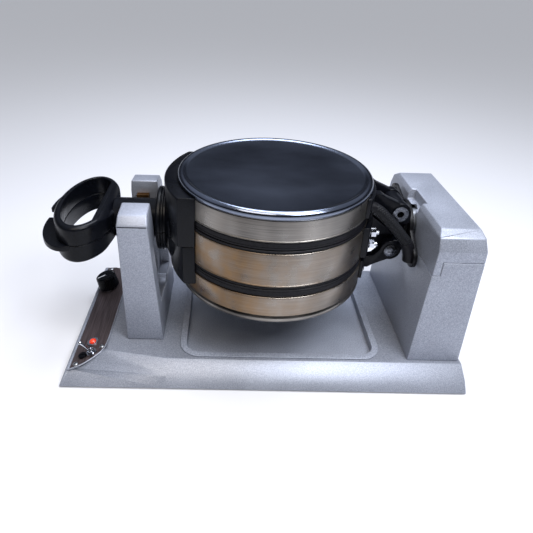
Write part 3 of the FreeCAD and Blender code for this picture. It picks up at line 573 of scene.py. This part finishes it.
def runTree(tree, data, values):
    holder = newObject(tree.name, data)
    made = holder.modifiers.new(tree.name, "NODES")
    made.node_group = tree
    for item in tree.interface.items_tree:
        if item.in_out == "INPUT" and item.name in values:
            made[item.identifier] = values[item.name]
    mesh = bakeMesh(holder)
    bpy.data.objects.remove(holder)
    return mesh


def sweepTree():
    # a round skin along a curve; the skin's UV holds millimetres along and turns about it
    tree, inputs = newTree("roundSweep", {
        "Radius": ("NodeSocketFloat", 0.006), "Step": ("NodeSocketFloat", 0.001),
        "Sides": ("NodeSocketInt", 24), "Material": ("NodeSocketMaterial", None)})
    line = addNode(tree, "GeometryNodeResampleCurve",
                   links={"Curve": inputs["Geometry"], "Length": inputs["Step"]}, mode="LENGTH")
    run = addNode(tree, "GeometryNodeSplineParameter")
    marked = addNode(tree, "GeometryNodeCaptureAttribute", links={"Geometry": line.outputs[0]})
    marked.capture_items.new("FLOAT", "along")
    tree.links.new(run.outputs["Length"], marked.inputs[1])
    ring = addNode(tree, "GeometryNodeCurvePrimitiveCircle",
                   links={"Resolution": inputs["Sides"], "Radius": inputs["Radius"]})
    turn = addNode(tree, "GeometryNodeCaptureAttribute", links={"Geometry": ring.outputs[0]})
    turn.capture_items.new("FLOAT", "turn")
    tree.links.new(addNode(tree, "GeometryNodeSplineParameter").outputs["Factor"], turn.inputs[1])
    skin = addNode(tree, "GeometryNodeCurveToMesh", {"Fill Caps": True},
                   {"Curve": marked.outputs[0], "Profile Curve": turn.outputs[0]})
    inMm = addNode(tree, "ShaderNodeMath", {1: 1000.0}, {0: marked.outputs[1]}, operation="MULTIPLY")
    both = addNode(tree, "ShaderNodeCombineXYZ", links={"X": inMm.outputs[0], "Y": turn.outputs[1]})
    kept = addNode(tree, "GeometryNodeStoreNamedAttribute", {"Name": "UVMap"},
                   {"Geometry": skin.outputs[0], "Value": both.outputs[0]},
                   data_type="FLOAT2", domain="CORNER")
    finishTree(tree, inputs, kept.outputs[0])
    return tree


def panHeadTree():
    # a pan head with a cross slot on every point, facing along the point's own "facing"
    tree, inputs = newTree("panHeads", {
        "Head Radius": ("NodeSocketFloat", 0.004), "Head Height": ("NodeSocketFloat", 0.002),
        "Slot Width": ("NodeSocketFloat", 0.001), "Slot Length": ("NodeSocketFloat", 0.005),
        "Material": ("NodeSocketMaterial", None)})
    ball = addNode(tree, "GeometryNodeMeshUVSphere", {"Segments": 28, "Rings": 14},
                   {"Radius": inputs["Head Radius"]})
    squeeze = addNode(tree, "ShaderNodeMath", links={0: inputs["Head Height"], 1: inputs["Head Radius"]},
                      operation="DIVIDE")
    shape = addNode(tree, "ShaderNodeCombineXYZ", {"X": 1.0, "Y": 1.0}, {"Z": squeeze.outputs[0]})
    head = addNode(tree, "GeometryNodeTransform",
                   links={"Geometry": ball.outputs[0], "Scale": shape.outputs[0]})
    slotted = addNode(tree, "GeometryNodeMeshBoolean", links={"Mesh 1": head.outputs[0]},
                      operation="DIFFERENCE")
    for first, second in (("Slot Length", "Slot Width"), ("Slot Width", "Slot Length")):
        size = addNode(tree, "ShaderNodeCombineXYZ",
                       links={"X": inputs[first], "Y": inputs[second], "Z": inputs["Head Height"]})
        bar = addNode(tree, "GeometryNodeMeshCube", links={"Size": size.outputs[0]})
        lift = addNode(tree, "ShaderNodeCombineXYZ", links={"Z": inputs["Head Height"]})
        lifted = addNode(tree, "GeometryNodeTransform",
                         links={"Geometry": bar.outputs[0], "Translation": lift.outputs[0]})
        tree.links.new(lifted.outputs[0], slotted.inputs["Mesh 2"])
    facing = addNode(tree, "GeometryNodeInputNamedAttribute", {"Name": "facing"}, data_type="FLOAT_VECTOR")
    turned = addNode(tree, "FunctionNodeAlignEulerToVector",
                     links={"Vector": facing.outputs["Attribute"]}, axis="Z")
    spots = addNode(tree, "GeometryNodeInstanceOnPoints",
                    links={"Points": inputs["Geometry"], "Instance": slotted.outputs[0],
                           "Rotation": turned.outputs[0]})
    finishTree(tree, inputs, spots.outputs[0])
    return tree


sweep, panHeads = sweepTree(), panHeadTree()


def route(name, points):
    # points are x, y, z in millimetres and how thick the skin is there, one being full
    data = bpy.data.curves.new(name, "CURVE")
    data.dimensions = "3D"
    line = data.splines.new("NURBS")
    line.points.add(len(points) - 1)
    for spot, (x, y, z, thick) in zip(line.points, points):
        spot.co, spot.radius = (*at(x, y, z), 1.0), thick
    line.order_u, line.use_endpoint_u, line.resolution_u = 3, True, 24
    return data


# the two leads leave the lids through a braided sleeve and enter a black boot on the hub plate
# routes are x, z and thickness; bendFrom and bendTo are each x and z
lead = {"radius": 6.0, "bootRadius": 6.6, "y": -42, "bendFrom": (104, 188), "bendTo": (141, 149),
        "step": 0.6, "sides": 28}
sleeveRoute = [(96, 190.2, 1), (105, 187.2, 1), (117, 175.5, 1), (130.3, 161.7, 1), (137, 153.5, 0.93),
               (140.5, 149.8, 0.72), (144.6, 142, 0.72)]
bootRoute = [(141.2, 148.6, 0.70), (141.6, 147.9, 0.98), (143.6, 144.2, 1.1), (145.7, 139, 1.2),
             (147.0, 134, 1.24), (147.6, 130.2, 1.12), (147.9, 126.8, 0.72), (148.0, 125.8, 0.2)]
collarRoute = [(94.5, 190.7, 1.12), (100.5, 188.9, 1.16), (101.3, 188.6, 1.05)]
for under, prefix in ((False, "top"), (True, "bottom")):
    node = prefix + "_cable"
    start, end = (at(x, lead["y"], z) for x, z in (lead["bendFrom"], lead["bendTo"]))
    if under:
        start, end = turnOver @ start, turnOver @ end
    for name, points, radius, look in (("Sleeve", sleeveRoute, lead["radius"], "braidedSleeve"),
                                       ("SleeveBoot", bootRoute, lead["bootRadius"], "mouldedRubber"),
                                       ("SleeveCollar", collarRoute, lead["radius"], "mouldedRubber")):
        data = route(prefix + name, [(x, lead["y"], z, thick) for x, z, thick in points])
        mesh = runTree(sweep, data, {"Radius": radius * mm, "Step": lead["step"] * mm, "Sides": lead["sides"],
                                     "Material": finish[look]})
        if under:
            mesh.transform(turnOver)
        obj = newObject(prefix + name, mesh)
        mesh.shade_smooth()
        mesh.set_sharp_from_angle(angle=math.radians(50))
        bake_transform(obj)
        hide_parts(node)
        pieceCount += 1
print("pieces with the sleeved leads:", pieceCount)

# the control panel: where its low edge is, how high it is there, and how steeply it rises
panel = {"frontX": -218, "frontZ": 13, "slope": math.atan2(9.0, 37.0)}


def panelHeight(x):
    return panel["frontZ"] + (x - panel["frontX"]) * math.tan(panel["slope"])


panelUp = (-math.sin(panel["slope"]), 0, math.cos(panel["slope"]))
panelScrews = [(-212.5, -92.0), (-188.5, -70.0), (-212.5, 92.0), (-188.5, 70.0)]
panelHeadSunk = 0.55    # how far a head's widest ring lies inside the panel
armPadR, armHeadSunk = 108.0, 0.6    # the hinge arms' outer face, and how deep a head sits in it
armScrewY = (-3.3, 26.0)


def armScrewX(y):
    # a screw stands square on the round face of its arm
    return math.sqrt(armPadR ** 2 - y * y) - armHeadSunk


screwSets = {
    # place and facing of every head, then radius, height and slot in millimetres
    "panelScrewHeads": {"node": "panel_screws",
                        "spots": [((x, y, panelHeight(x) - panelHeadSunk), panelUp) for x, y in panelScrews],
                        "radius": 3.0, "height": 1.5, "slot": (0.7, 3.4)},
    "coverScrewHeads": {"node": "cover_screws",
                        "spots": [((207.2, y, 156.5), (1, 0, 0)) for y in (-62, 62)],
                        "radius": 3.6, "height": 1.9, "slot": (0.9, 4.2)},
    "topScrewHeads": {"node": "top_lid_screws",
                      "spots": [((-190, y, 155), (-1, 0, 0)) for y in (-14, 14)]
                      + [((armScrewX(y), y, 194), (armScrewX(y), y, 0)) for y in armScrewY],
                      "radius": 3.9, "height": 2.4, "slot": (0.9, 4.6)},
}
screwSets["bottomScrewHeads"] = dict(screwSets["topScrewHeads"], node="bottom_lid_screws")
for name, kind in screwSets.items():
    points = bpy.data.meshes.new(name)
    points.from_pydata([at(*place) for place, facing in kind["spots"]], [], [])
    points.attributes.new("facing", "FLOAT_VECTOR", "POINT").data.foreach_set(
        "vector", [c for place, facing in kind["spots"] for c in facing])
    slotWidth, slotLength = kind["slot"]
    heads = runTree(panHeads, points, {
        "Head Radius": kind["radius"] * mm, "Head Height": kind["height"] * mm,
        "Slot Width": slotWidth * mm, "Slot Length": slotLength * mm, "Material": finishOf(kind["node"])})
    if kind["node"].startswith("bottom"):
        heads.transform(turnOver)
    newPiece(name, heads, kind["node"], smooth=35)
print("screw sets:", len(screwSets))

# a raised bright lip runs round the panel's open side and down its slope: x and y, height off the slope
bead = {"radius": 0.9, "step": 1.0, "sides": 12, "proud": 0.2}
beadRoute = [(-183.2, 73), (-182.4, 40), (-182.4, 0), (-182.4, -40), (-182.9, -66), (-184.8, -76),
             (-190.5, -84), (-197, -89.8), (-205.5, -95.8), (-212.0, -98.2), (-219.4, -99.6)]
beadPoints = [(x, y, panelHeight(x) + bead["proud"], 1.0) for x, y in beadRoute]
beadMesh = runTree(sweep, route("panelBead", beadPoints), {
    "Radius": bead["radius"] * mm, "Step": bead["step"] * mm, "Sides": bead["sides"],
    "Material": finish["silverPowderCoat"]})
beadPiece = newObject("panelBead", beadMesh)
beadMesh.shade_smooth()
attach(beadPiece, "base")
pieceCount += 1

# a pale floor, lit a little from inside so that it stays pale round the machine; reach in metres
floorLook = {"colour": "#cfd0d4", "glow": "#fafafc", "strength": 0.16, "roughness": 0.8, "gloss": 0.1,
             "reach": 40.0}
floorMesh = bpy.data.meshes.new("floor")
reach = floorLook["reach"]
corners = [(-reach, -reach, 0), (reach, -reach, 0), (reach, reach, 0), (-reach, reach, 0)]
floorMesh.from_pydata(corners, [], [(0, 1, 2, 3)])
floor = newObject("floor", floorMesh)
floorMaterial, floorTree, floorShader = startMaterial("paleFloor")
floorShader.inputs["Base Color"].default_value = linear(floorLook["colour"])
floorShader.inputs["Roughness"].default_value = floorLook["roughness"]
floorShader.inputs["Specular IOR Level"].default_value = floorLook["gloss"]
floorShader.inputs["Emission Color"].default_value = linear(floorLook["glow"])
floorShader.inputs["Emission Strength"].default_value = floorLook["strength"]
floorMesh.materials.append(floorMaterial)

buildCamera()
buildLight()
bpy.context.scene.view_settings.view_transform = "Standard"
print("pieces:", pieceCount)
